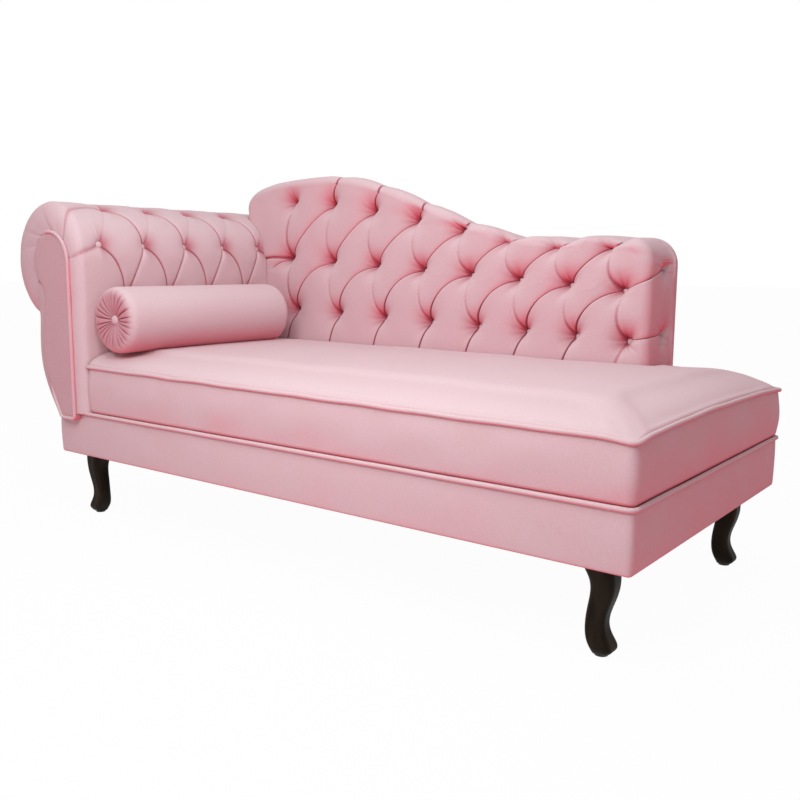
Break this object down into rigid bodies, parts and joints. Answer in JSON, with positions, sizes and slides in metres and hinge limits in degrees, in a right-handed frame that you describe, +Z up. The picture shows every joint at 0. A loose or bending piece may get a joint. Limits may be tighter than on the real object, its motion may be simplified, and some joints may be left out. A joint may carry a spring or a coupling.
{
  "type": "recamier",
  "caption": "One-armed recamier in pink tufted velvet: scroll arm, serpentine back, crowned seat with welts, loose bolster and dark cabriole legs.",
  "frame": {"origin": "on the floor, under the middle of the overall box", "axes": "+X along the length, from the arm to the open foot end; +Y from the front to the back; +Z up"},
  "size_m": [1.779, 0.828, 0.912],
  "materials": {
    "velvet": "short pile velvet",
    "leg_wood": "dark stain, satin",
    "frame_wood": "sawn pine",
    "board": "plywood",
    "foam": "foam and fibre filling",
    "steel": "zinc plated",
    "webbing": "elastic webbing",
    "lining": "black non-woven",
    "glide": "moulded"
  },
  "bodies": {
    "sofa": {"arm_buttons": "velvet", "arm_facing": "velvet", "arm_facing_welt": "velvet", "arm_foot_rail": "frame_wood", "arm_front_board": "board", "arm_inner_panel": "board", "arm_outside_pad": "velvet", "arm_pad": "velvet", "arm_rear_board": "board", "arm_rear_cover": "velvet", "arm_slats": "frame_wood", "arm_top_rail": "frame_wood", "back_board": "board", "back_bolts": "steel", "back_buttons": "velvet", "back_foam": "foam", "back_outside_cover": "velvet", "back_pad": "velvet", "back_post_1": "frame_wood", "back_post_2": "frame_wood", "back_post_3": "frame_wood", "base_cover_front": "velvet", "base_cover_left": "velvet", "base_cover_rear": "velvet", "base_cover_right": "velvet", "corner_blocks": "frame_wood", "cross_rail_1": "frame_wood", "cross_rail_2": "frame_wood", "dust_cover": "lining", "frame_screws": "steel", "front_left_leg": "leg_wood", "front_rail": "frame_wood", "front_right_leg": "leg_wood", "left_rail": "frame_wood", "leg_bolts": "steel", "leg_glides": "glide", "rear_left_leg": "leg_wood", "rear_rail": "frame_wood", "rear_right_leg": "leg_wood", "right_rail": "frame_wood", "seat_boxing": "velvet", "seat_foam": "foam", "seat_top": "velvet", "seat_webbing": "webbing", "seat_welt_lower": "velvet", "seat_welt_upper": "velvet", "tee_nuts": "steel"},
    "bolster": {"bolster_button_front": "velvet", "bolster_button_rear": "velvet", "bolster_core": "foam", "bolster_cover": "velvet", "bolster_end_front": "velvet", "bolster_end_rear": "velvet"}
  },
  "joints": [
    {"name": "bolster_lift", "type": "slide", "parent": "sofa", "child": "bolster", "axis": [0, 0, 1], "range_m": [0, 0.45]}
  ]
}
